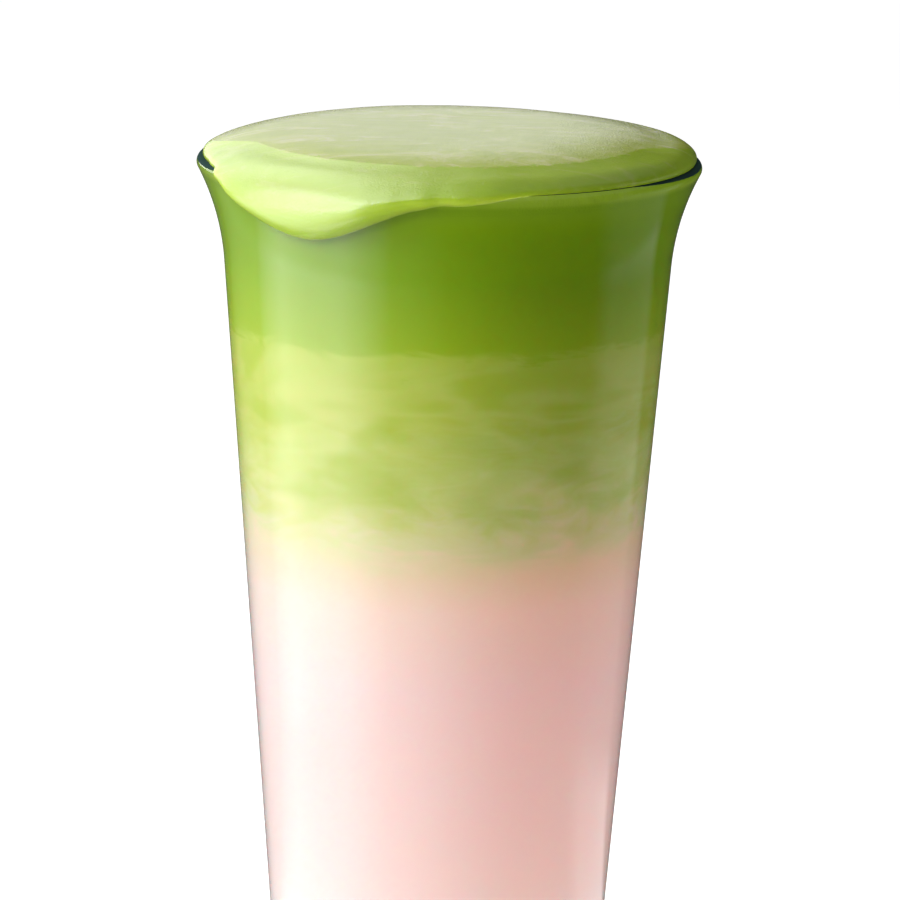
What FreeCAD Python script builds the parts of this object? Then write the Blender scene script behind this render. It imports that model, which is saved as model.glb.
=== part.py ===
import FreeCAD, Part
import math
import os

# Matcha cheese foam drink in a flared glass tumbler: pink milk at the bottom, a marbled
# layer where it meets the tea, green matcha above, and a thick crown of matcha cheese foam
# that plugs the mouth and runs over the lip at the front left.
#
# Millimetres, +Z up. The origin is the middle of the base. The front is -Y, and angles
# round the glass start there and grow toward +X.

Vector = FreeCAD.Vector

# ---- Glass tumbler ----
glass_height = 150.0      # base to the top of the lip
rim_diameter = 90.0       # across the outside of the lip
lip_flare = 5.08          # how far the lip stands out from the neck, on the radius
flare_height = 19.0       # height over which the side curves out to the lip
foot_diameter = 58.9      # outside of the straight side, carried down to the base
wall_thickness = 2.4
base_thickness = 9.0
heel_radius = 3.5         # outside corner at the base
floor_radius = 6.0        # inside corner at the floor

# ---- Layers in the glass, from the top down ----
foam_depth = 3.3          # foam reaches this far down inside the lip
matcha_depth = 26.2       # green matcha under the foam
marbled_depth = 40.5      # marbled layer under the matcha; pink milk fills the rest
matcha_wave = 0.7         # height of the waves where matcha and marbled layer meet
milk_wave = 1.6           # the same, where marbled layer and milk meet
matcha_tilt = 0.4         # that meeting stands this much higher at the left wall
milk_tilt = 1.5
waves_across = 3.1        # how tight the waves are, from left to right
waves_deep = 2.3          # the same, from front to back
milk_wave_turn = 0.4      # where each sheet's waves start
matcha_wave_turn = 2.1
sheet_reach = 1.1         # half width of each sheet, as a share of the lip's radius

# ---- Foam crown ----
foam_crown = 5.25         # height over the lip in the middle
foam_inset = 0.44         # the crown's side stands this far inside the lip's outside
crown_lean = 0.36         # the shoulder stands this much fuller on one side
lean_side = 6.0           # degrees past the front where the lean is nil
lip_cover = 0.9           # the crown turns in at this height, above and below the lip's top

# ---- Foam spill over the lip ----
lobe_at = -36.6           # angle of the lowest point of the thick lobe
lobe_half_width = 37.3    # the lobe ends this many degrees to each side
lobe_drop = 9.5           # its lowest point, below the top of the lip
lobe_thickness = 3.4      # how far the lobe's skin is drawn out from the glass
lobe_full_drop = 6.0      # where it drops this much it has its full thickness
film_thickness = 1.0      # the same, where only a film runs over the lip
film_full_drop = 1.6
tail_at = 4.4             # a thin tail runs on along the lip
tail_half_width = 13.3
tail_drop = 1.35
belly_at = 0.45           # the spill's belly, as a share of its drop
chin_at = 0.95            # its lowest bulge, and how thick that is beside the belly
chin_fullness = 0.9
shoulder_sag = 0.3        # the shoulder is this much lower over the lobe

# The crown's upper rings, from the middle out: radius as a share of the lip's radius,
# height as a share of foam_crown, and how much of crown_lean lifts the ring.
CROWN_RINGS = [
    (0.09, 1.00, 0.0),
    (0.31, 1.00, 0.0),
    (0.53, 0.975, 0.0),
    (0.73, 0.84, -0.1),
    (0.85, 0.60, 0.3),
    (0.92, 0.50, 0.8),
]
CROWN_SPOKES = 48         # control points round each ring

# ---- Worked out from the sizes above ----
rim_radius = rim_diameter / 2
neck_radius = rim_radius - lip_flare
neck_height = glass_height - flare_height
foot_radius = foot_diameter / 2
foam_level = glass_height - foam_depth
marbled_top = foam_level - matcha_depth
milk_top = marbled_top - marbled_depth
lip_radius = wall_thickness / 2

# Directions in the section: x is the radius and y is the height.
taper = math.atan((neck_radius - foot_radius) / neck_height)
ALONG_SIDE = Vector(math.sin(taper), math.cos(taper), 0)
OUTWARD = Vector(math.cos(taper), -math.sin(taper), 0)

neck_outside = Vector(neck_radius, neck_height, 0)
neck_middle = neck_outside - OUTWARD * lip_radius
lip_centre = Vector(rim_radius - lip_radius, glass_height - lip_radius, 0)

# The flare is one arc, tangent to the side at the neck and ending at the lip's centre.
flare_chord = lip_centre - neck_middle
flare_radius = flare_chord.Length ** 2 / (2 * flare_chord.dot(OUTWARD))
flare_centre = neck_middle + OUTWARD * flare_radius
TO_LIP = (lip_centre - flare_centre).normalize()
OVER_LIP = Vector(TO_LIP.y, -TO_LIP.x, 0)


def in_section(point):
    """A point of the section, given as radius and height, on the XZ plane."""
    return Vector(point.x, 0, point.y)


def line(start, end):
    return Part.LineSegment(in_section(start), in_section(end)).toShape()


def arc(start, middle, end):
    return Part.Arc(in_section(start), in_section(middle), in_section(end)).toShape()


def corner_arc(before, corner, after, radius):
    """Start, middle and end of the arc that rounds a corner."""
    to_before = (before - corner).normalize()
    to_after = (after - corner).normalize()
    half_angle = to_before.getAngle(to_after) / 2
    bisector = (to_before + to_after).normalize()
    centre = corner + bisector * (radius / math.sin(half_angle))
    setback = radius / math.tan(half_angle)
    return corner + to_before * setback, centre - bisector * radius, corner + to_after * setback


def flare_arc(offset):
    """Start, middle and end of the flare's arc, offset from the middle of the wall."""
    radius = flare_radius + offset
    halfway = (TO_LIP - OUTWARD).normalize()
    return (flare_centre - OUTWARD * radius,
            flare_centre + halfway * radius,
            flare_centre + TO_LIP * radius)


def revolve(edges):
    face = Part.Face(Part.Wire(edges))
    return face.revolve(Vector(0, 0, 0), Vector(0, 0, 1), 360)


def wall_edges():
    """The outside edges from the middle of the base to the lip's flare, as one list."""
    centre = Vector(0, 0, 0)
    heel_start, heel_middle, heel_end = corner_arc(
        centre, Vector(foot_radius, 0, 0), neck_outside, heel_radius)
    flare_start, flare_middle, flare_end = flare_arc(-lip_radius)
    return [
        line(centre, heel_start),
        arc(heel_start, heel_middle, heel_end),
        line(heel_end, flare_start),
        arc(flare_start, flare_middle, flare_end),
    ]


def bore_edges():
    """The inside edges from the lip's flare down to the middle of the floor."""
    floor_centre = Vector(0, base_thickness, 0)
    neck_inside, flare_middle, flare_end = flare_arc(lip_radius)
    down_side = -ALONG_SIDE
    floor_corner = neck_inside + down_side * ((neck_inside.y - base_thickness) / ALONG_SIDE.y)
    start, middle, end = corner_arc(neck_inside, floor_corner, floor_centre, floor_radius)
    return [
        arc(flare_end, flare_middle, neck_inside),
        line(neck_inside, start),
        arc(start, middle, end),
        line(end, floor_centre),
    ]


def make_glass():
    lip_start = lip_centre - TO_LIP * lip_radius
    lip_end = lip_centre + TO_LIP * lip_radius
    lip_tip = lip_centre + OVER_LIP * lip_radius
    closing = line(Vector(0, base_thickness, 0), Vector(0, 0, 0))
    return revolve(wall_edges() + [arc(lip_start, lip_tip, lip_end)] + bore_edges() + [closing])


def lip_crest_arc(toward):
    """The lip's arc from its top to where the flare begins: 1 is inside, -1 outside."""
    crest = lip_centre + Vector(0, lip_radius, 0)
    side = lip_centre + TO_LIP * (lip_radius * toward)
    side_angle = math.atan2(side.y - lip_centre.y, side.x - lip_centre.x)
    halfway = (side_angle + math.pi / 2) / 2
    middle = lip_centre + Vector(math.cos(halfway), math.sin(halfway), 0) * lip_radius
    return crest, middle, side


def make_bore():
    """All that the glass can hold, up to the top of the lip."""
    crest, middle, side = lip_crest_arc(1)
    mouth = Vector(0, glass_height, 0)
    edges = [line(mouth, crest), arc(crest, middle, side)] + bore_edges()
    return revolve(edges + [line(Vector(0, base_thickness, 0), mouth)])


def make_block():
    """The glass with its bore filled: what the foam outside has to go round."""
    crest, middle, side = lip_crest_arc(-1)
    mouth = Vector(0, glass_height, 0)
    edges = wall_edges() + [arc(side, middle, crest), line(crest, mouth)]
    return revolve(edges + [line(mouth, Vector(0, 0, 0))])


def outside_radius(height):
    """Radius of the outside of the glass at a height."""
    if height > lip_centre.y:
        return lip_centre.x + math.sqrt(max(lip_radius ** 2 - (height - lip_centre.y) ** 2, 0))
    if height > neck_height:
        outer = flare_radius - lip_radius
        return flare_centre.x - math.sqrt(outer ** 2 - (height - flare_centre.y) ** 2)
    return foot_radius + height * math.tan(taper)


def layer_top(level, tilt, wave, turn):
    """A wavy sheet across the glass, and all below it, as one solid.

    The sheet is a net of control heights: a tilt, and two crossing waves.
    """
    steps = 8
    reach = sheet_reach * rim_radius
    poles = []
    for i in range(steps + 1):
        row = []
        for j in range(steps + 1):
            across = 2 * i / steps - 1
            deep = 2 * j / steps - 1
            ripple = math.sin(waves_across * across + turn) * math.cos(waves_deep * deep - turn)
            height = level - tilt * across + wave * ripple
            row.append(Vector(across * reach, deep * reach, height))
        poles.append(row)
    mults = [4] + [1] * (steps - 3) + [4]
    knots = list(range(len(mults)))
    sheet = Part.BSplineSurface()
    sheet.buildFromPolesMultsKnots(poles, mults, mults, knots, knots, False, False, 3, 3)
    return sheet.toShape().extrude(Vector(0, 0, -2 * glass_height))


def spill_drop(angle):
    """How far below the top of the lip the foam comes down outside, at an angle."""
    tail = tail_drop * math.exp(-((angle - tail_at) / tail_half_width) ** 2)
    across = (angle - lobe_at) / lobe_half_width
    if abs(across) >= 1:
        return tail
    return tail + lobe_drop * math.cos(math.pi / 2 * across) ** 2


def blend(start, end, share):
    return tuple(a + (b - a) * share for a, b in zip(start, end))


def ease(share):
    """A smooth step from 0 to 1."""
    share = min(1.0, share)
    return share * share * (3 - 2 * share)


def crown_section(angle):
    """Control points of the foam's skin at an angle: radius, and height over the lip.

    Where nothing spills, the skin turns in over the lip and dives into the glass. Where
    foam spills, the same points are drawn out and down, as a film or as a thick lobe.
    """
    drop = spill_drop(angle)
    lobe = ease(drop / lobe_full_drop)
    film = ease(drop / film_full_drop)
    thickness = film_thickness * film + (lobe_thickness - film_thickness) * lobe
    lean = crown_lean * math.sin(math.radians(angle - lean_side))
    rings = [(part * rim_radius, rise * foam_crown + lifted * lean)
             for part, rise, lifted in CROWN_RINGS]
    shoulder_radius, shoulder_rise = rings.pop()
    rings.append((shoulder_radius + 2 * lean + thickness, shoulder_rise - shoulder_sag * lobe))

    tucked_in = [
        (rim_radius - foam_inset, lip_cover),
        (rim_radius - foam_inset - lip_radius, -lip_cover),
        (rim_radius - 2 * wall_thickness, -foam_depth),
    ]
    belly = outside_radius(glass_height - belly_at * drop) + thickness
    chin = outside_radius(glass_height - chin_at * drop) + chin_fullness * thickness
    behind = outside_radius(glass_height - drop) - lip_radius
    drawn_out = [
        (belly, lip_cover * (1 - lobe) - belly_at * drop),
        (chin, -chin_at * drop),
        (behind, -drop - lip_cover),
    ]
    for inner, outer in zip(tucked_in, drawn_out):
        rings.append(blend(inner, outer, film))
    rings.append((rim_radius - 6 * wall_thickness, -lobe_drop - foam_depth))
    return rings


def make_crown_skin():
    """The foam's outer shape as a closed solid, from a net of rings and spokes."""
    shrink = (2 + math.cos(2 * math.pi / CROWN_SPOKES)) / 3
    poles = []
    for spoke in range(CROWN_SPOKES):
        angle = 360 * spoke / CROWN_SPOKES
        if angle > 180:
            angle -= 360
        across = math.sin(math.radians(angle))
        deep = -math.cos(math.radians(angle))
        poles.append([Vector(radius / shrink * across, radius / shrink * deep, glass_height + rise)
                      for radius, rise in crown_section(angle)])
    ring_mults = [1] * (CROWN_SPOKES + 1)
    rings = len(poles[0])
    spoke_mults = [4] + [1] * (rings - 4) + [4]
    skin = Part.BSplineSurface()
    skin.buildFromPolesMultsKnots(
        poles, ring_mults, spoke_mults,
        list(range(len(ring_mults))), list(range(len(spoke_mults))), True, False, 3, 3)
    ends = [skin.vIso(value).toShape() for value in (0, len(spoke_mults) - 1)]
    caps = [Part.Face(Part.Wire([end])) for end in ends]
    shell = Part.Shell(Part.makeShell([skin.toShape()] + caps).Faces)
    shell.sewShape()
    solid = Part.Solid(shell)
    if solid.Volume < 0:
        solid.reverse()
    return solid


def make_foam(block, bore):
    """The crown and its spill, cut round the glass, with the plug inside the lip."""
    outside = make_crown_skin().cut(block)
    below = Part.makeCylinder(rim_radius, foam_level)
    plug = bore.cut(below)
    return outside.fuse(plug).removeSplitter()


def make_layers(bore):
    """Milk, marbled layer and matcha, cut from the bore along their wavy tops."""
    drink = bore.common(Part.makeCylinder(rim_radius, foam_level))
    under_milk_top = layer_top(milk_top, milk_tilt, milk_wave, milk_wave_turn)
    under_marbled_top = layer_top(marbled_top, matcha_tilt, matcha_wave, matcha_wave_turn)
    return {
        "pink_milk_layer": drink.common(under_milk_top),
        "marbled_layer": drink.common(under_marbled_top).cut(under_milk_top),
        "matcha_layer": drink.cut(under_marbled_top),
    }


def only_solid(shape):
    solids = shape.Solids
    if len(solids) != 1:
        raise ValueError("expected one solid, found %d" % len(solids))
    return solids[0]


def main():
    os.makedirs("parts", exist_ok=True)
    bore = make_bore()
    nodes = {"glass_tumbler": make_glass(), "matcha_foam": make_foam(make_block(), bore)}
    nodes.update(make_layers(bore))
    for name, shape in sorted(nodes.items()):
        solid = only_solid(shape)
        solid.exportStep("parts/" + name + ".step")
        print(name, "valid", solid.isValid(), "volume_ml", round(solid.Volume / 1000, 2))


main()
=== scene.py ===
import math

import bpy
import numpy as np
from mathutils import Matrix, Vector


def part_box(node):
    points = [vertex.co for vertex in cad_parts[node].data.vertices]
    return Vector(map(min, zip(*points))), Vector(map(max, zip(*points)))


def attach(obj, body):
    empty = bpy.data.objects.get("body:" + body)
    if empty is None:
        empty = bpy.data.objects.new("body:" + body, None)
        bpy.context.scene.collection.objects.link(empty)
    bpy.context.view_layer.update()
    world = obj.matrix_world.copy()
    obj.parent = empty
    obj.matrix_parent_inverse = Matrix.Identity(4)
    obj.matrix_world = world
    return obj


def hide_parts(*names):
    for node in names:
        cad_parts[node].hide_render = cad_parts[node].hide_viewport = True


# A layered matcha drink in a flared glass, under a crown of matcha cheese foam.
#
# The frame is in metres. The outlines below are worked out in millimetres, as radius and
# height, and become metres when a mesh is made. Angles round the glass start at the front
# (-Y) and grow toward +X.

MM = 0.001

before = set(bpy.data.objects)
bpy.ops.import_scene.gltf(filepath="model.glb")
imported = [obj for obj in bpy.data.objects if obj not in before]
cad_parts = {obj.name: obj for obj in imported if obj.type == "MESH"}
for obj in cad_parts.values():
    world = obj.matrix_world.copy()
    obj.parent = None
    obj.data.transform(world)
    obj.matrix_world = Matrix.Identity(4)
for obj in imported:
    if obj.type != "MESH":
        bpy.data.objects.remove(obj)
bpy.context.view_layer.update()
_, glass_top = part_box("glass_tumbler")
_, foam_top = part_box("matcha_foam")
_, drink_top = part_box("matcha_layer")

# ---- Glass tumbler ----
GLASS_HEIGHT = glass_top.z / MM
RIM_RADIUS = glass_top.x / MM
LIP_FLARE = 5.08          # how far the lip stands out from the neck, on the radius
FLARE_HEIGHT = 19.0       # height over which the side curves out to the lip
FOOT_RADIUS = 29.45       # outside of the straight side, carried down to the base
WALL = 2.4
LIP_RADIUS = WALL / 2
BASE = 9.0
HEEL_RADIUS = 3.5         # outside corner at the base
FLOOR_RADIUS = 6.0        # inside corner at the floor

# ---- Drink and foam in the glass ----
FOAM_LEVEL = drink_top.z / MM             # the foam sits on the drink here
FOAM_DEPTH = GLASS_HEIGHT - FOAM_LEVEL
BITE = 0.15               # how far drink and foam reach into the wall
LAYER_GAP = 0.01          # between the drink and the foam on it

# ---- Foam crown ----
FOAM_CROWN = foam_top.z / MM - GLASS_HEIGHT    # height over the lip in the middle
FOAM_INSET = 0.44         # the crown's side stands this far inside the lip's outside
CROWN_LEAN = 0.36         # the shoulder stands this much fuller on one side
LEAN_SIDE = 6.0           # degrees past the front where the lean is nil
LEAN_OUT = 2              # the shoulder stands out by this many times its lean
LIP_COVER = 0.9           # the crown turns in at this height, above and below the lip's top
DIVE_WALLS = 2            # the skin dives this many walls inside the lip's outside
CLOSING_WALLS = 6         # and ends, deep in the glass, this many walls inside it

# The crown's upper rings, from the middle out: radius as a share of the lip's radius,
# height as a share of FOAM_CROWN, and how much of CROWN_LEAN lifts the ring.
CROWN_RINGS = [
    (0.09, 1.00, 0.0),
    (0.31, 1.00, 0.0),
    (0.53, 0.975, 0.0),
    (0.73, 0.84, -0.1),
    (0.85, 0.60, 0.3),
    (0.92, 0.50, 0.8),
]

# ---- Foam spill over the lip ----
LOBE_AT = -36.6           # angle of the lowest point of the thick lobe
LOBE_HALF_WIDTH = 37.3    # the lobe ends this many degrees to each side
LOBE_DROP = 9.5           # its lowest point, below the top of the lip
LOBE_THICKNESS = 3.4      # how far the lobe's skin is drawn out from the glass
LOBE_FULL_DROP = 6.0      # where it drops this much it has its full thickness
FILM_THICKNESS = 1.0      # the same, where only a film runs over the lip
FILM_FULL_DROP = 1.6
TAIL_AT = 4.4             # a thin tail runs on along the lip
TAIL_HALF_WIDTH = 13.3
TAIL_DROP = 1.35
BELLY_AT = 0.45           # the spill's belly, as a share of its drop
CHIN_AT = 0.95            # its lowest bulge, and how thick that is beside the belly
CHIN_FULLNESS = 0.9
SHOULDER_SAG = 0.3        # the shoulder is this much lower over the lobe

# The foam's unevenness: how high its waves are, their seed, and about how long they are.
FOAM_RELIEF = [
    (0.02, 3, 16.0),
    (0.004, 5, 4.0),
]
RELIEF_WAVES = 24         # plane waves in each
RELIEF_LENGTHS = (0.7, 1.6)    # each is between these times as long as said
RELIEF_FADE = (0.06, 0.12)     # shares of the skin where it fades, at the foot and the middle

# ---- How fine the meshes are ----
SPOKES = 256              # round the glass and the drink
WALL_STEPS = 40           # along the straight side, and along the flare
LIP_STEPS = 65            # over the lip
CORNER_STEPS = 12
FLAT_STEPS = 6            # from the axis out to a corner
FOAM_SPOKES = 480
SPOKE_STEP = 7.5          # the skin is rounded over this many degrees to each side
SPLINE_STEPS = 900        # along the foam's section, before its points are spread evenly
SKIN_RINGS = 150          # on the open skin
SEAT_RINGS = 44           # on the glass
PLUG_RINGS = 8            # under the foam
CREASE = 50               # edges sharper than this many degrees stay sharp

# ---- Worked out from the sizes above ----
# Directions and points in the section are arrays of radius and height.
NECK_HEIGHT = GLASS_HEIGHT - FLARE_HEIGHT
NECK_RADIUS = RIM_RADIUS - LIP_FLARE
TAPER = math.atan((NECK_RADIUS - FOOT_RADIUS) / NECK_HEIGHT)
ALONG_SIDE = np.array([math.sin(TAPER), math.cos(TAPER)])
OUTWARD = np.array([math.cos(TAPER), -math.sin(TAPER)])
NECK_MIDDLE = np.array([NECK_RADIUS, NECK_HEIGHT]) - OUTWARD * LIP_RADIUS
LIP_CENTRE = np.array([RIM_RADIUS - LIP_RADIUS, GLASS_HEIGHT - LIP_RADIUS])

# The flare is one arc, tangent to the side at the neck and ending at the lip's centre.
FLARE_CHORD = LIP_CENTRE - NECK_MIDDLE
FLARE_RADIUS = FLARE_CHORD @ FLARE_CHORD / (2 * FLARE_CHORD @ OUTWARD)
FLARE_CENTRE = NECK_MIDDLE + OUTWARD * FLARE_RADIUS
TO_LIP = LIP_CENTRE - FLARE_CENTRE
FLARE_START = math.pi - TAPER
FLARE_END = math.atan2(TO_LIP[1], TO_LIP[0])


# ---- Outlines ----

def arc(centre, radius, start, end, count):
    turn = np.linspace(start, end, count)
    return centre + radius * np.stack([np.cos(turn), np.sin(turn)], axis=1)


def rounded_corner(before, corner, after, radius):
    """Points of the arc that rounds a corner."""
    before, corner, after = (np.array(point, float) for point in (before, corner, after))
    to_before = (before - corner) / np.linalg.norm(before - corner)
    to_after = (after - corner) / np.linalg.norm(after - corner)
    half_angle = math.acos(to_before @ to_after) / 2
    bisector = (to_before + to_after) / np.linalg.norm(to_before + to_after)
    centre = corner + bisector * (radius / math.sin(half_angle))
    start = corner + to_before * (radius / math.tan(half_angle)) - centre
    end = corner + to_after * (radius / math.tan(half_angle)) - centre
    first = math.atan2(start[1], start[0])
    last = math.atan2(end[1], end[0])
    sweep = (last - first + math.pi) % (2 * math.pi) - math.pi
    return arc(centre, radius, first, first + sweep, CORNER_STEPS)


def straight(start, end, count):
    """Points between two ends, without the ends."""
    share = np.linspace(0, 1, count + 2)[1:-1, None]
    return np.array(start) * (1 - share) + np.array(end) * share


def outer_wall(skin):
    """The outside of the flare, going up, for a wall of this half thickness."""
    return arc(FLARE_CENTRE, FLARE_RADIUS - skin, FLARE_START, FLARE_END, WALL_STEPS)


def lip_top(skin):
    """Over the lip, from the outside to the inside, without the ends."""
    return arc(LIP_CENTRE, skin, FLARE_END - math.pi, FLARE_END, LIP_STEPS)[1:-1]


def inner_wall(skin):
    """The inside of the flare, going down."""
    return arc(FLARE_CENTRE, FLARE_RADIUS + skin, FLARE_END, FLARE_START, WALL_STEPS)


def mouth_radius(height, skin):
    """Radius of the inside of the flare at a height, for a wall of this half thickness."""
    up = inner_wall(skin)[::-1]
    return np.interp(height, up[:, 1], up[:, 0])


def outside_radius(height, skin=LIP_RADIUS):
    """Radius of the outside of the lip and flare at a height, for this half thickness."""
    outer = FLARE_RADIUS - skin
    over = LIP_CENTRE[0] + np.sqrt(np.maximum(skin ** 2 - (height - LIP_CENTRE[1]) ** 2, 0))
    flare = FLARE_CENTRE[0] - np.sqrt(outer ** 2 - (height - FLARE_CENTRE[1]) ** 2)
    return np.where(height > LIP_CENTRE[1], over, flare)


def bore(skin, floor_height):
    """The inside from the lip's flare down to the axis, for a wall of this half thickness."""
    down = inner_wall(skin)
    neck = down[-1]
    corner = neck - ALONG_SIDE * (neck[1] - floor_height) / ALONG_SIDE[1]
    bottom = rounded_corner(neck, corner, (0, floor_height), FLOOR_RADIUS)
    return np.concatenate([
        down,
        straight(neck, bottom[0], WALL_STEPS),
        bottom,
        straight(bottom[-1], (0, floor_height), FLAT_STEPS),
    ])


def glass_outline():
    """From the middle of the underside, up the outside, over the lip and down the bore."""
    neck = outer_wall(LIP_RADIUS)[0]
    heel = rounded_corner((0, 0), (FOOT_RADIUS, 0), neck, HEEL_RADIUS)
    return np.concatenate([
        straight((0, 0), heel[0], FLAT_STEPS),
        heel,
        straight(heel[-1], neck, WALL_STEPS),
        outer_wall(LIP_RADIUS),
        lip_top(LIP_RADIUS),
        bore(LIP_RADIUS, BASE),
    ])


def drink_outline():
    """From the floor's middle up the wall to the foam. It ends BITE inside the glass."""
    skin = LIP_RADIUS - BITE
    up = bore(skin, BASE - BITE)[::-1]
    top = FOAM_LEVEL - LAYER_GAP
    corner = (mouth_radius(top, skin), top)
    return np.concatenate([
        up[up[:, 1] < top],
        [corner],
        straight(corner, (0, top), FLAT_STEPS),
    ])


# ---- Meshes ----

def angles(count):
    return np.arange(count) * 2 * math.pi / count


def around(outline, turn):
    """The outline turned round the axis: rings of points in millimetres."""
    radius, height = outline[..., 0], outline[..., 1]
    return np.stack([radius * np.sin(turn), -radius * np.cos(turn), height + 0 * turn], axis=-1)


def closed_mesh(name, rings, first, last):
    """A closed smooth mesh from rings of points and the two points that end it."""
    count, spokes = rings.shape[:2]
    points = np.concatenate([rings.reshape(-1, 3), [first, last]])
    grid = np.arange(count * spokes).reshape(count, spokes)
    beside = np.roll(grid, -1, axis=1)
    quads = np.stack([grid[:-1], beside[:-1], beside[1:], grid[1:]], axis=-1).reshape(-1, 4)
    first_fan = [(count * spokes, b, a) for a, b in zip(grid[0], beside[0])]
    last_fan = [(count * spokes + 1, a, b) for a, b in zip(grid[-1], beside[-1])]
    mesh = bpy.data.meshes.new(name)
    mesh.from_pydata((points * MM).tolist(), [], quads.tolist() + first_fan + last_fan)
    mesh.validate()
    mesh.shade_smooth()
    mesh.set_sharp_from_angle(angle=math.radians(CREASE))
    piece = bpy.data.objects.new(name, mesh)
    bpy.context.scene.collection.objects.link(piece)
    return piece


def turned_piece(name, outline):
    """A closed piece turned from an outline that starts and ends near the axis."""
    rings = around(outline[:, None, :], angles(SPOKES)[None, :])
    return closed_mesh(name, rings, (0, 0, outline[0][1]), (0, 0, outline[-1][1]))


# ---- The foam's shape ----

def ease(share):
    """A smooth step from 0 to 1."""
    share = np.clip(share, 0, 1)
    return share * share * (3 - 2 * share)


def spill_drop(angle):
    """How far below the top of the lip the foam comes down outside, at an angle."""
    tail = TAIL_DROP * np.exp(-((angle - TAIL_AT) / TAIL_HALF_WIDTH) ** 2)
    across = np.clip((angle - LOBE_AT) / LOBE_HALF_WIDTH, -1, 1)
    return tail + LOBE_DROP * np.cos(math.pi / 2 * across) ** 2


def crown_section(angle):
    """Control points of the foam's skin at each angle: radius, and height over the lip.

    Where nothing spills, the skin turns in over the lip and dives into the glass. Where
    foam spills, the same points are drawn out and down, as a film or as a thick lobe.
    """
    drop = spill_drop(angle)
    lobe = ease(drop / LOBE_FULL_DROP)
    film = ease(drop / FILM_FULL_DROP)
    thickness = FILM_THICKNESS * film + (LOBE_THICKNESS - FILM_THICKNESS) * lobe
    lean = CROWN_LEAN * np.sin(np.radians(angle - LEAN_SIDE))
    rings = [(part * RIM_RADIUS + 0 * angle, rise * FOAM_CROWN + lifted * lean)
             for part, rise, lifted in CROWN_RINGS]
    shoulder_radius, shoulder_rise = rings.pop()
    rings.append((shoulder_radius + LEAN_OUT * lean + thickness,
                  shoulder_rise - SHOULDER_SAG * lobe))

    tucked_in = [
        (RIM_RADIUS - FOAM_INSET, LIP_COVER),
        (RIM_RADIUS - FOAM_INSET - LIP_RADIUS, -LIP_COVER),
        (RIM_RADIUS - DIVE_WALLS * WALL, -FOAM_DEPTH),
    ]
    belly = outside_radius(GLASS_HEIGHT - BELLY_AT * drop) + thickness
    chin = outside_radius(GLASS_HEIGHT - CHIN_AT * drop) + CHIN_FULLNESS * thickness
    behind = outside_radius(GLASS_HEIGHT - drop) - LIP_RADIUS
    drawn_out = [
        (belly, LIP_COVER * (1 - lobe) - BELLY_AT * drop),
        (chin, -CHIN_AT * drop),
        (behind, -drop - LIP_COVER),
    ]
    for inner, outer in zip(tucked_in, drawn_out):
        rings.append(tuple(a + (b - a) * film for a, b in zip(inner, outer)))
    rings.append((RIM_RADIUS - CLOSING_WALLS * WALL + 0 * angle,
                  -LOBE_DROP - FOAM_DEPTH + 0 * angle))
    return np.array(rings).transpose(2, 0, 1)


def rounded_sections():
    """The control points at every spoke, rounded as a cubic spline rounds them."""
    turn = np.degrees(angles(FOAM_SPOKES))
    turn = np.where(turn > 180, turn - 360, turn)
    weights = ((-1, 1 / 6), (0, 4 / 6), (1, 1 / 6))
    return sum(crown_section(turn + step * SPOKE_STEP) * share for step, share in weights)


def clamped_cubic(count, at):
    """The weights of count control points of a clamped uniform cubic B-spline."""
    knots = np.concatenate([[0] * 3, np.arange(count - 2), [count - 3] * 3]).astype(float)
    spans = len(knots) - 1
    weights = np.array([(at >= knots[i]) & (at < knots[i + 1]) for i in range(spans)], float)
    for degree in (1, 2, 3):
        raised = np.zeros((spans - degree, len(at)))
        for i in range(spans - degree):
            rise = knots[i + degree] - knots[i]
            fall = knots[i + degree + 1] - knots[i + 1]
            if rise:
                raised[i] += (at - knots[i]) / rise * weights[i]
            if fall:
                raised[i] += (knots[i + degree + 1] - at) / fall * weights[i + 1]
        weights = raised
    return weights.T


def path_lengths(line):
    """How far along a line of points each of them is."""
    steps = np.linalg.norm(np.diff(line, axis=0), axis=1)
    return np.concatenate([[0], np.cumsum(steps)])


def points_at(line, lengths, at):
    """The points of a line at these distances along it."""
    return np.stack([np.interp(at, lengths, line[:, i]) for i in range(2)], axis=1)


def skin_lines():
    """The foam's skin at every spoke, as a line from the crown's middle out and down."""
    sections = rounded_sections()
    controls = sections.shape[1]
    just_inside = controls - 3 - 1e-6
    weights = clamped_cubic(controls, np.linspace(0, just_inside, SPLINE_STEPS))
    lines = np.einsum("tc,acx->atx", weights, sections)
    lines[..., 1] += GLASS_HEIGHT
    return lines


def seat_line(skin):
    """Up the outside of the flare, over the lip, and down inside it to the drink."""
    inside = inner_wall(skin)
    inside = inside[inside[:, 1] > FOAM_LEVEL]
    plug_corner = (mouth_radius(FOAM_LEVEL, skin), FOAM_LEVEL)
    return np.concatenate([outer_wall(skin), lip_top(skin), inside, [plug_corner]])


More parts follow.
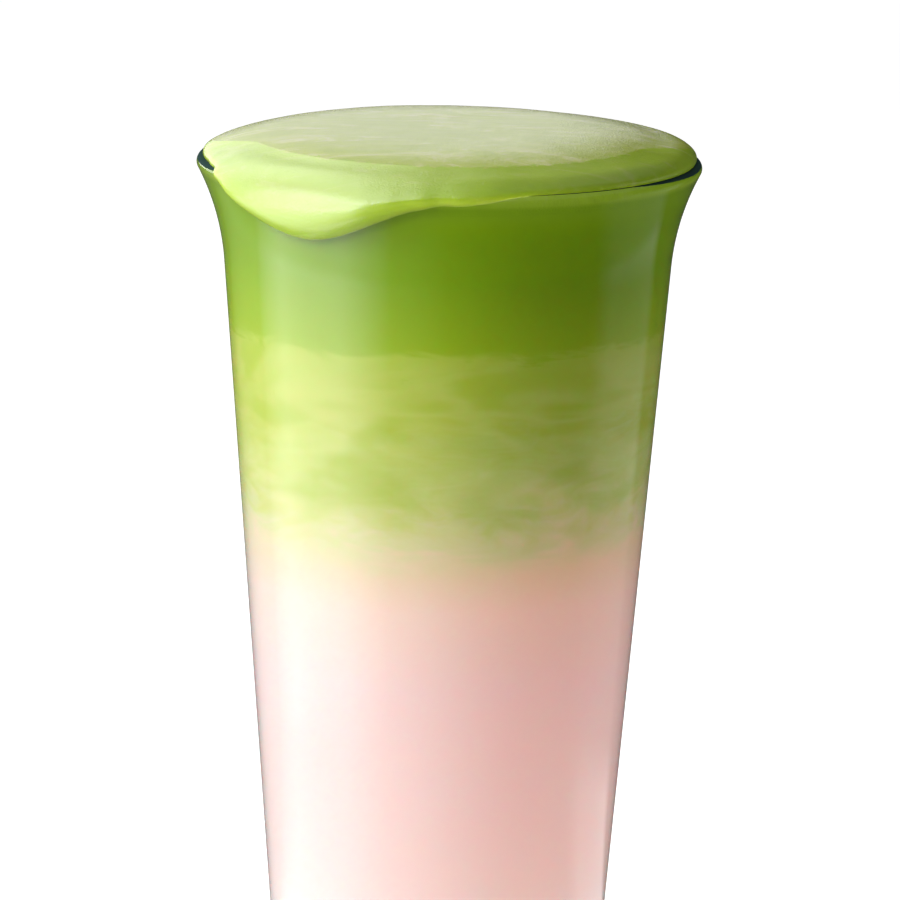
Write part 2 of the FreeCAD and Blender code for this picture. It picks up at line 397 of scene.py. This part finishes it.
def foam_rings():
    """The foam's rings, from the plug's middle out, over the lip and back over the crown.

    Each skin line stops where it meets the glass, and the foam seats on it from there.
    """
    skin = LIP_RADIUS - BITE
    seat = seat_line(skin)
    seat_lengths = path_lengths(seat)
    plug = straight((0, FOAM_LEVEL), seat[-1], PLUG_RINGS)
    spokes = []
    for line in skin_lines():
        low = line[:, 1] < LIP_CENTRE[1] + skin
        sunk = low & (line[:, 0] < outside_radius(line[:, 1], skin))
        stop = int(np.argmax(sunk))
        nearest = np.argmin(np.linalg.norm(seat - line[stop], axis=1))
        seat_at = np.linspace(seat_lengths[nearest], seat_lengths[-1], SEAT_RINGS + 1)[1:]
        seated = points_at(seat, seat_lengths, seat_at)
        open_line = line[:stop + 1]
        open_lengths = path_lengths(open_line)
        open_at = np.linspace(0, open_lengths[-1], SKIN_RINGS + 1)[1:]
        crown = points_at(open_line, open_lengths, open_at)
        spokes.append(np.concatenate([plug, seated[::-1], crown[::-1]]))
    outlines = np.array(spokes).transpose(1, 0, 2)
    return around(outlines, angles(FOAM_SPOKES)[None, :])


def ripples(points, seed, size):
    """A smooth uneven field of about 1 in height: plane waves of about this length."""
    draw = np.random.default_rng(seed)
    field = np.zeros(points.shape[:-1])
    for _ in range(RELIEF_WAVES):
        way = draw.normal(size=3)
        way *= 2 * math.pi / (size * draw.uniform(*RELIEF_LENGTHS) * np.linalg.norm(way))
        field += np.sin(points @ way + draw.uniform(0, 2 * math.pi))
    return field / math.sqrt(RELIEF_WAVES / 2)


def outward_normals(rings):
    along = np.gradient(rings, axis=0)
    beside = np.roll(rings, -1, axis=1) - np.roll(rings, 1, axis=1)
    normal = np.cross(beside, along)
    return normal / np.maximum(np.linalg.norm(normal, axis=-1, keepdims=True), 1e-9)


def add_relief(skin):
    """Makes the open skin slightly uneven."""
    share = np.linspace(0, 1, len(skin))[:, None]
    fade = ease(share / RELIEF_FADE[0]) * ease((1 - share) / RELIEF_FADE[1])
    relief = sum(height * ripples(skin, seed, size) for height, seed, size in FOAM_RELIEF)
    skin += outward_normals(skin) * (relief * fade)[..., None]


# ---- Shader helpers ----

def node(tree, kind, inputs=None, **settings):
    """Adds a node. inputs maps sockets to values or to the outputs that feed them."""
    made = tree.nodes.new("ShaderNode" + kind)
    for name, value in settings.items():
        setattr(made, name, value)
    for name, value in (inputs or {}).items():
        socket = made.inputs[name]
        if isinstance(value, bpy.types.NodeSocket):
            tree.links.new(value, socket)
        else:
            socket.default_value = value
    return made


def math_node(tree, operation, first, second=0.0):
    return node(tree, "Math", {0: first, 1: second}, operation=operation).outputs[0]


def multiply(tree, first, second):
    return math_node(tree, "MULTIPLY", first, second)


def colour(rgb):
    return (*rgb, 1.0)


def mix_colour(tree, factor, first, second):
    return node(tree, "Mix", {0: factor, 6: first, 7: second}, data_type="RGBA").outputs[2]


def mix_value(tree, factor, first, second):
    return node(tree, "Mix", {0: factor, 2: first, 3: second}).outputs[0]


def mix_shader(tree, factor, first, second):
    return node(tree, "MixShader", {0: factor, 1: first.outputs[0], 2: second.outputs[0]})


def spread(tree, value, low, high, to_low=0.0, to_high=1.0, smooth=True):
    """value moved from low..high to to_low..to_high, held at the ends."""
    kind = "SMOOTHSTEP" if smooth else "LINEAR"
    made = node(tree, "MapRange", {"Value": value, "From Min": low, "From Max": high,
                                   "To Min": to_low, "To Max": to_high}, interpolation_type=kind)
    return made.outputs["Result"]


def between(tree, value, fade_in, fade_out):
    """1 inside a band that fades in and out between these pairs of values."""
    return multiply(tree, spread(tree, value, *fade_in), spread(tree, value, *fade_out))


def ramp(tree, factor, stops):
    """A colour ramp from (place, colour) pairs."""
    made = node(tree, "ValToRGB", {"Fac": factor})
    elements = made.color_ramp.elements
    while len(elements) < len(stops):
        elements.new(0.5)
    for element, (place, rgb) in zip(elements, stops):
        element.position = place
        element.color = colour(rgb)
    return made.outputs["Color"]


def noise(tree, where, scale, detail, roughness, distortion=0.0):
    made = node(tree, "TexNoise", {"Vector": where, "Scale": scale, "Detail": detail,
                                   "Roughness": roughness, "Distortion": distortion})
    return made.outputs[0]


def stretched_noise(tree, where, stretch, turn, detail, roughness, distortion):
    """Noise that is scaled along each axis and then turned."""
    moved = node(tree, "Mapping", {"Vector": where, "Scale": stretch, "Rotation": turn})
    return noise(tree, moved.outputs[0], 1.0, detail, roughness, distortion)


def bump(tree, height, strength, distance, under=None):
    """A bump by a height from 0 to 1, on top of the bump under it."""
    made = node(tree, "Bump", {"Height": height, "Strength": strength, "Distance": distance})
    if under is not None:
        tree.links.new(under, made.inputs["Normal"])
    return made.outputs[0]


def object_place(tree):
    return node(tree, "TexCoord").outputs["Object"]


def axis(tree, where, name):
    return node(tree, "SeparateXYZ", {0: where}).outputs[name]


def height_in_mm(tree, where):
    return math_node(tree, "DIVIDE", axis(tree, where, "Z"), MM)


def new_material(name):
    material = bpy.data.materials.new(name)
    material.use_nodes = True
    material.node_tree.nodes.clear()
    return material, material.node_tree


def finish_material(tree, shader):
    node(tree, "OutputMaterial", {"Surface": shader.outputs[0]})


# ---- Glass material ----

CLEAR = (0.97, 0.99, 0.985)
GLASS_IOR = 1.5
# Painted shade along the lip's edge, where the glass refracts dark surroundings:
EDGE_PAINTED_TEAL = (0.030, 0.060, 0.055)
EDGE_ROUGHNESS = 0.3
EDGE_FROM = (149.93, 149.35)    # height where the lip's dark edge begins, at the front and a side
EDGE_TURN = (0.72, 0.95)        # it comes down between these shares of the way to the side


def glass_material():
    """Clear glass. Lamps and the light of matt surfaces pass straight through it."""
    material, tree = new_material("clear_glass")
    glass = node(tree, "BsdfPrincipled", {
        "Base Color": colour(CLEAR), "Roughness": 0.0, "IOR": GLASS_IOR,
        "Transmission Weight": 1.0})
    clear = node(tree, "BsdfTransparent")
    path = node(tree, "LightPath")
    passing = math_node(tree, "MAXIMUM", path.outputs["Is Shadow Ray"],
                        path.outputs["Is Diffuse Ray"])
    finish_material(tree, mix_shader(tree, passing, glass, clear))
    return material


def painted_dark_edge_material():
    """Opaque dark teal: painted shade for what the lip's edge refracts, and the tint of so much
    glass in a line.
    """
    material, tree = new_material("glass_edge_painted_shade")
    edge = node(tree, "BsdfPrincipled", {
        "Base Color": colour(EDGE_PAINTED_TEAL), "Roughness": EDGE_ROUGHNESS,
        "Specular IOR Level": 0.0})
    finish_material(tree, edge)
    return material


# ---- Drink material ----

MATCHA_GREEN = (0.25, 0.42, 0.009)
WET_FOAM = (0.22, 0.375, 0.012)    # where tea and foam meet
MILK_WISP = (0.74, 0.78, 0.27)
TEA_WISP = (0.42, 0.56, 0.035)
DRINK_LEVELS = [          # height in millimetres, and the drink's colour there
    (60.0, (0.89, 0.66, 0.65)),
    (74.0, (0.88, 0.67, 0.60)),
    (80.0, (0.78, 0.66, 0.50)),
    (86.0, (0.66, 0.69, 0.40)),
    (92.0, (0.62, 0.68, 0.27)),
    (98.0, (0.56, 0.65, 0.19)),
    (108.0, (0.51, 0.60, 0.09)),
    (119.6, (0.46, 0.58, 0.065)),
    (121.2, (0.36, 0.52, 0.018)),
    (134.0, MATCHA_GREEN),
    (144.0, (0.22, 0.38, 0.006)),
    (146.7, WET_FOAM),
]

# Noises: scale along each axis, turn in radians, detail, roughness and distortion.
SLOW_SWIRLS = ((60, 60, 110), (0, 0, 0), 3.0, 0.55, 0.8)
FINE_SWIRLS = ((70, 70, 200), (0.35, 0.2, 0), 4.0, 0.6, 1.6)
FOLDS = ((26, 26, 70), (0.25, -0.5, 0.3), 2.0, 0.5, 0.9)

SLOW_SHIFT = 16.0         # the swirls move the colours up and down by this much in all
FINE_SHIFT = 22.0
SWIRLED = ((78, 90), (125, 113))    # heights where the swirls fade in, and fade out
FOLDED = ((84, 100), (123, 115))    # the same, for the folds
WISP_WIDTH = 0.14         # milk shows along the folds' middle level, this far to each side
WISP_AMOUNT = 0.22
TEA_FOLDS = (0.52, 0.68)  # tea shows where the folds stand higher, from nothing to its most
TEA_AMOUNT = 0.4

DRINK_ROUGHNESS = 0.45
DRINK_IOR = 1.34
LIGHT_REACH = ((74.0, 106.0), (0.12, 0.004))    # light spreads this far, in metres, by height
LIGHT_RGB = (1.0, 0.4, 0.3)                     # how much of that reach each colour has
LIGHT_ENDS = (141.0, 146.0)    # nearer to the foam the light spreads less and less


def drink_material():
    """Milk, marbled layer and matcha, coloured by height, with slow swirls between them."""
    material, tree = new_material("layered_drink")
    where = object_place(tree)
    height = height_in_mm(tree, where)

    shifts = []
    for swirls, amount in ((SLOW_SWIRLS, SLOW_SHIFT), (FINE_SWIRLS, FINE_SHIFT)):
        centred = math_node(tree, "SUBTRACT", stretched_noise(tree, where, *swirls), 0.5)
        shifts.append(multiply(tree, centred, amount))
    moved = multiply(tree, math_node(tree, "ADD", *shifts), between(tree, height, *SWIRLED))
    seen = math_node(tree, "ADD", height, moved)

    low, high = DRINK_LEVELS[0][0], DRINK_LEVELS[-1][0]
    stops = [((level - low) / (high - low), rgb) for level, rgb in DRINK_LEVELS]
    base = ramp(tree, spread(tree, seen, low, high, smooth=False), stops)

    folds = stretched_noise(tree, where, *FOLDS)
    folded = between(tree, height, *FOLDED)
    off_middle = math_node(tree, "ABSOLUTE", math_node(tree, "SUBTRACT", folds, 0.5))
    milk = multiply(tree, spread(tree, off_middle, WISP_WIDTH, 0.0, 0.0, WISP_AMOUNT), folded)
    base = mix_colour(tree, milk, base, colour(MILK_WISP))
    tea = multiply(tree, spread(tree, folds, *TEA_FOLDS, 0.0, TEA_AMOUNT), folded)
    base = mix_colour(tree, tea, base, colour(TEA_WISP))

    heights, reaches = LIGHT_REACH
    drink = node(tree, "BsdfPrincipled", {
        "Base Color": base, "Roughness": DRINK_ROUGHNESS, "IOR": DRINK_IOR,
        "Specular IOR Level": 0.0,
        "Subsurface Weight": spread(tree, height, *LIGHT_ENDS, 1.0, 0.0),
        "Subsurface Radius": LIGHT_RGB,
        "Subsurface Scale": spread(tree, seen, *heights, *reaches)})
    finish_material(tree, drink)
    return material


# ---- Foam material ----

FROTH = (0.48, 0.66, 0.06)
STREAKS = ((45, 120, 90), (0, 0, 0.25), 5.0, 0.65, 2.5)
FROTH_STREAKS = [
    (0.35, (0.46, 0.65, 0.05)),
    (0.55, FROTH),
    (0.72, (0.56, 0.69, 0.13)),
]
SHEEN_SKIN_STREAKS = [          # painted sheen: the flat top paler, for its reflection of the backdrop
    (0.40, (0.52, 0.63, 0.08)),
    (0.54, (0.58, 0.67, 0.13)),
    (0.68, (0.78, 0.79, 0.38)),
]
SHEEN_END = (151.5, 153.75)    # height where the painted sheen ends, at the back and the front, in mm
SHEEN_TURN = (0.006, -0.013)   # the one becomes the other between these places on Y, in metres
SHEEN_RAGGED = 0.55            # its end strays up or down by at most this much
SHEEN_EDGE = 0.05              # and turns from pale to green within this much to each side
SLUMP_REACH = 2.5             # below its end the foam seems to bend down over this height
WET_TO_DRY = (147.5, 150.0)   # its low colour turns into the others between these heights

FOAM_ROUGHNESS = 0.1
FOAM_IOR = 1.5
FOAM_LIGHT_REACH = 0.003      # in metres
FOAM_LIGHT_RGB = (1.0, 1.0, 0.35)

# Noises of one size all ways: scale, detail and roughness.
RAGS = (900.0, 4.0, 0.6)
GRAIN = (2600.0, 2.0, 0.6)
DIMPLES = (330.0, 3.0, 0.6)

# Bumps: strength, and depth in metres.
SLUMP_BUMP = (1.0, 0.0014)
GRAIN_BUMP = (0.25, 0.0003)
DIMPLE_BUMP = (1.0, 0.00004)


def foam_material(name, low, gloss, body):
    """Wet, dense foam: fine froth over a soft body, with paler streaks and a painted sheen on
    top.

    low is its colour at the bottom, gloss how much it mirrors, and body how much light
    spreads inside it.
    """
    material, tree = new_material(name)
    where = object_place(tree)
    height = height_in_mm(tree, where)
    streaks = stretched_noise(tree, where, *STREAKS)
    froth = ramp(tree, streaks, FROTH_STREAKS)
    pale = ramp(tree, streaks, SHEEN_SKIN_STREAKS)

    # Painted sheen: above its ragged end the foam is paler, for the backdrop that its flat top
    # mirrors.
    end = spread(tree, axis(tree, where, "Y"), *SHEEN_TURN, *SHEEN_END)
    over_sheen_end = math_node(tree, "SUBTRACT", height, end)
    rags = noise(tree, where, *RAGS)
    rags = spread(tree, rags, 0.0, 1.0, -SHEEN_RAGGED, SHEEN_RAGGED, smooth=False)
    on_painted_sheen = spread(tree, math_node(tree, "ADD", over_sheen_end, rags), -SHEEN_EDGE, SHEEN_EDGE)
    top = mix_colour(tree, on_painted_sheen, froth, pale)
    base = mix_colour(tree, spread(tree, height, *WET_TO_DRY), colour(low), top)

    slump = spread(tree, over_sheen_end, -SLUMP_REACH, 0.0, smooth=False)
    slumped = bump(tree, multiply(tree, slump, slump), *SLUMP_BUMP)
    grained = bump(tree, noise(tree, where, *GRAIN), *GRAIN_BUMP, slumped)
    dimpled = bump(tree, noise(tree, where, *DIMPLES), *DIMPLE_BUMP, grained)
    foam = node(tree, "BsdfPrincipled", {
        "Base Color": base, "Roughness": FOAM_ROUGHNESS, "IOR": FOAM_IOR,
        "Specular IOR Level": gloss, "Subsurface Weight": body,
        "Subsurface Radius": FOAM_LIGHT_RGB, "Subsurface Scale": FOAM_LIGHT_REACH,
        "Normal": dimpled})
    finish_material(tree, foam)
    return material


# ---- The three pieces ----

def make_glass():
    glass = turned_piece("glass", glass_outline())
    glass.data.materials.append(glass_material())
    glass.data.materials.append(painted_dark_edge_material())
    # The faces high on the lip get the painted shade of its dark edge.
    for face in glass.data.polygons:
        sideways = abs(face.center.x) / face.center.xy.length
        edge_from = np.interp(sideways, EDGE_TURN, EDGE_FROM)
        face.material_index = int(face.center.z > edge_from * MM)
    return glass


def make_drink():
    drink = turned_piece("layered_drink", drink_outline())
    drink.data.materials.append(drink_material())
    return drink


def make_foam():
    """The foam. The rings that seat on the drink and the glass are wet and without gloss."""
    rings = foam_rings()
    add_relief(rings[-SKIN_RINGS:])
    foam = closed_mesh("cheese_foam", rings, (0, 0, FOAM_LEVEL), (0, 0, rings[-1][:, 2].mean()))
    seat_faces = (len(rings) - SKIN_RINGS) * FOAM_SPOKES
    seated = [1] * seat_faces + [0] * (len(foam.data.polygons) - seat_faces)
    foam.data.materials.append(
        foam_material("matcha_cheese_foam", low=FROTH, gloss=0.9, body=1.0))
    foam.data.materials.append(
        foam_material("foam_behind_glass", low=WET_FOAM, gloss=0.0, body=0.0))
    foam.data.polygons.foreach_set("material_index", seated)
    return foam


# ---- Studio ----

# What gloss sees of the studio, as pairs of an angle round the glass and a brightness.
AROUND_LOW = [            # the floor and the card at its left
    (-180, 0.06), (-150, 0.1), (-120, 0.6), (-112, 0.8), (-92, 3.7), (-55, 3.6),
    (-28, 0.5), (0, 0.08), (20, 0.03), (160, 0.03), (180, 0.06),
]
AROUND_RIGHT = [          # the card at the floor's right
    (-180, 0), (80, 0), (92, 1), (125, 1), (132, 0), (180, 0),
]
AROUND_HIGH = [           # the walls, with the backdrop behind the glass
    (-180, 1.1), (-174, 1.1), (-168, 1.5), (-150, 2.8), (-110, 3.0), (-85, 2.6),
    (-75, 0.3), (-40, 0.05), (20, 0.02), (176.6, 0.02), (177.3, 1.1), (180, 1.1),
]
AROUND_TOP = [            # the walls above the backdrop's top
    (-180, 0.1), (-172, 0.25), (-160, 1.5), (-150, 2.8), (-110, 3.0), (-85, 2.6),
    (-75, 0.3), (-40, 0.1), (20, 0.02), (180, 0.1),
]

# The cards' brightness as a share, at distances in millimetres from the glass's axis.
LEFT_CARD = [(0, 0.5), (150, 0.5), (180, 0.7), (240, 0.8), (290, 0.75), (350, 1.05), (400, 1.0)]
RIGHT_CARD = [
    (0, 0.8), (125, 0.8), (160, 0.15), (310, 0.2), (360, 0.45), (484, 0.25), (700, 0.2),
]

# The lit floor's brightness to matt surfaces, at such distances, and its share by place on X.
GLOW = [(0, 0.5), (50, 0.5), (95, 1.4), (150, 0.25), (190, 0)]
GLOW_SIDE = ((-0.08, 0.0), (0.05, 1.0))
BRIGHTEST = 4.0           # no brightness in the lists above is higher

FLOOR_GREY = 0.7
FLOOR_WHITE = ((600.0, 2500.0), (0.72, 1.0))    # white added for the camera, by distance
FLOOR_REACH = 6.0         # metres from its middle to each side

BACKDROP_TOP = math.radians(27.0)
BACKDROP_EDGE = 0.005     # radians
CEILING = (math.radians(29.0), math.radians(41.0))    # the soft light overhead fades in here
OVERHEAD = ((-0.4, 0.1), (4.0, 0.3))       # its brightness by direction on X
AMBIENT = ((-0.1, 0.6), (0.0, 0.80))       # light on matt surfaces by direction on Y

LAMP_AIM = Vector((0, 0, 0.1))

# The camera looks slightly down on the glass through a long lens. Lengths are in metres.
CAMERA_AIM = Vector((0.96, 0, 96.6)) * MM
CAMERA_DISTANCE = 1.1
CAMERA_ELEVATION = math.radians(11.75)
CAMERA_ROLL = math.radians(0.966)
CAMERA_LENS = 244.8
CAMERA_SENSOR = 36
CAMERA_CLIP = (0.05, 20)


def curve(tree, value, levels):
    """The level at a value, along straight lines between (value, level) pairs."""
    low, high = levels[0][0], levels[-1][0]
    stops = [((at - low) / (high - low), (level / BRIGHTEST,) * 3) for at, level in levels]
    share = spread(tree, value, low, high, smooth=False)
    return multiply(tree, ramp(tree, share, stops), BRIGHTEST)


def brightness_round(tree, where, levels):
    """How bright the studio is, by the angle round the glass."""
    front = multiply(tree, axis(tree, where, "Y"), -1.0)
    turn = math_node(tree, "ARCTAN2", axis(tree, where, "X"), front)
    return curve(tree, math_node(tree, "DEGREES", turn), levels)


def emission(tree, strength):
    return node(tree, "Emission", {"Strength": strength})


def add_shader(tree, first, second):
    return node(tree, "AddShader", {0: first.outputs[0], 1: second.outputs[0]})


def floor_material():
    """Matt and pale. The camera sees it near white, and gloss sees the cards round it."""
    material, tree = new_material("studio_floor")
    where = object_place(tree)
    path = node(tree, "LightPath")
    matt = node(tree, "BsdfDiffuse", {"Color": colour((FLOOR_GREY,) * 3)})
    metres = node(tree, "VectorMath", {0: where}, operation="LENGTH").outputs["Value"]
    reach = math_node(tree, "DIVIDE", metres, MM)

    distances, whites = FLOOR_WHITE
    seen = add_shader(tree, matt, emission(tree, spread(tree, reach, *distances, *whites)))

    left = multiply(tree, brightness_round(tree, where, AROUND_LOW),
                    curve(tree, reach, LEFT_CARD))
    right = multiply(tree, brightness_round(tree, where, AROUND_RIGHT),
                     curve(tree, reach, RIGHT_CARD))
    mirrored = emission(tree, math_node(tree, "ADD", left, right))

    places, shares = GLOW_SIDE
    side = spread(tree, axis(tree, where, "X"), *places, *shares)
    glow = multiply(tree, curve(tree, reach, GLOW), side)
    glow = multiply(tree, glow, path.outputs["Is Diffuse Ray"])
    lit = add_shader(tree, matt, emission(tree, glow))

    unseen = mix_shader(tree, path.outputs["Is Glossy Ray"], lit, mirrored)
    direct = math_node(tree, "MAXIMUM", path.outputs["Is Camera Ray"],
                       path.outputs["Is Transmission Ray"])
    finish_material(tree, mix_shader(tree, direct, unseen, seen))
    material.cycles.emission_sampling = "NONE"
    return material


def make_floor():
    reach = FLOOR_REACH
    mesh = bpy.data.meshes.new("studio_floor")
    corners = [(-reach, -reach, 0), (reach, -reach, 0), (reach, reach, 0), (-reach, reach, 0)]
    mesh.from_pydata(corners, [], [(0, 1, 2, 3)])
    floor = bpy.data.objects.new("studio_floor", mesh)
    floor.data.materials.append(floor_material())
    bpy.context.scene.collection.objects.link(floor)


def make_world():
    """White to the camera, dim to matt surfaces, and walls round a backdrop to gloss."""
    world = bpy.data.worlds.new("studio")
    world.use_nodes = True
    tree = world.node_tree
    tree.nodes.clear()
    way = node(tree, "TexCoord").outputs["Generated"]
    rise = math_node(tree, "ARCSINE", axis(tree, way, "Z"))
    over_backdrop = spread(tree, rise, BACKDROP_TOP - BACKDROP_EDGE, BACKDROP_TOP + BACKDROP_EDGE)
    walls = mix_value(tree, over_backdrop, brightness_round(tree, way, AROUND_HIGH),
                      brightness_round(tree, way, AROUND_TOP))
    directions, brightness = OVERHEAD
    ceiling = spread(tree, axis(tree, way, "X"), *directions, *brightness)
    glossy = mix_value(tree, spread(tree, rise, *CEILING), walls, ceiling)

    directions, brightness = AMBIENT
    matt = spread(tree, axis(tree, way, "Y"), *directions, *brightness)
    path = node(tree, "LightPath")
    see = math_node(tree, "MAXIMUM", path.outputs["Is Glossy Ray"],
                    path.outputs["Is Transmission Ray"])
    level = mix_value(tree, see, matt, glossy)
    level = mix_value(tree, path.outputs["Is Camera Ray"], level, 1.0)
    background = node(tree, "Background", {"Strength": level})
    node(tree, "OutputWorld", {"Surface": background.outputs[0]})
    world.cycles.sampling_method = "NONE"
    bpy.context.scene.world = world


def softbox(name, angle, rise, distance, width, height, radiance, mirrored):
    """An area light of this radiance, aimed at the glass and hidden from the camera."""
    light = bpy.data.lights.new(name, "AREA")
    light.shape = "RECTANGLE"
    light.size = width
    light.size_y = height
    light.energy = radiance * math.pi * width * height
    lamp = bpy.data.objects.new(name, light)
    turn = math.radians(angle)
    lift = math.radians(rise)
    away = Vector((math.sin(turn) * math.cos(lift), -math.cos(turn) * math.cos(lift),
                   math.sin(lift)))
    lamp.location = LAMP_AIM + away * distance
    lamp.rotation_euler = away.to_track_quat("Z", "Y").to_euler()
    lamp.visible_camera = False
    lamp.visible_glossy = mirrored
    bpy.context.scene.collection.objects.link(lamp)


def make_lights():
    softbox("key_softbox", angle=-60, rise=20, distance=0.8,
            width=0.68, height=0.62, radiance=5.3, mirrored=True)
    softbox("high_softbox", angle=-150, rise=48, distance=0.9,
            width=0.8, height=0.7, radiance=2.0, mirrored=False)
    softbox("back_strip", angle=113, rise=12, distance=0.8,
            width=0.35, height=0.6, radiance=1.2, mirrored=False)


def make_camera():
    back = Vector((0, -math.cos(CAMERA_ELEVATION), math.sin(CAMERA_ELEVATION)))
    level = Vector((1, 0, 0))
    rise = back.cross(level)
    right = level * math.cos(CAMERA_ROLL) + rise * math.sin(CAMERA_ROLL)
    up = rise * math.cos(CAMERA_ROLL) - level * math.sin(CAMERA_ROLL)
    data = bpy.data.cameras.new("camera")
    data.lens = CAMERA_LENS
    data.sensor_width = CAMERA_SENSOR
    data.clip_start, data.clip_end = CAMERA_CLIP
    camera = bpy.data.objects.new("camera", data)
    turned = Matrix((right, up, back)).transposed().to_4x4()
    camera.matrix_world = Matrix.Translation(CAMERA_AIM + back * CAMERA_DISTANCE) @ turned
    bpy.context.scene.collection.objects.link(camera)
    bpy.context.scene.camera = camera


# ---- The drink in its studio ----

def place(piece, slot, *nodes):
    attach(piece, "root")
    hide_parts(*nodes)


def main():
    make_camera()
    place(make_glass(), "glass", "glass_tumbler")
    place(make_drink(), "marbled_milk", "matcha_layer", "marbled_layer", "pink_milk_layer")
    place(make_foam(), "matcha_foam", "matcha_foam")
    make_floor()
    make_world()
    make_lights()
    bpy.context.scene.view_settings.view_transform = "Standard"


main()
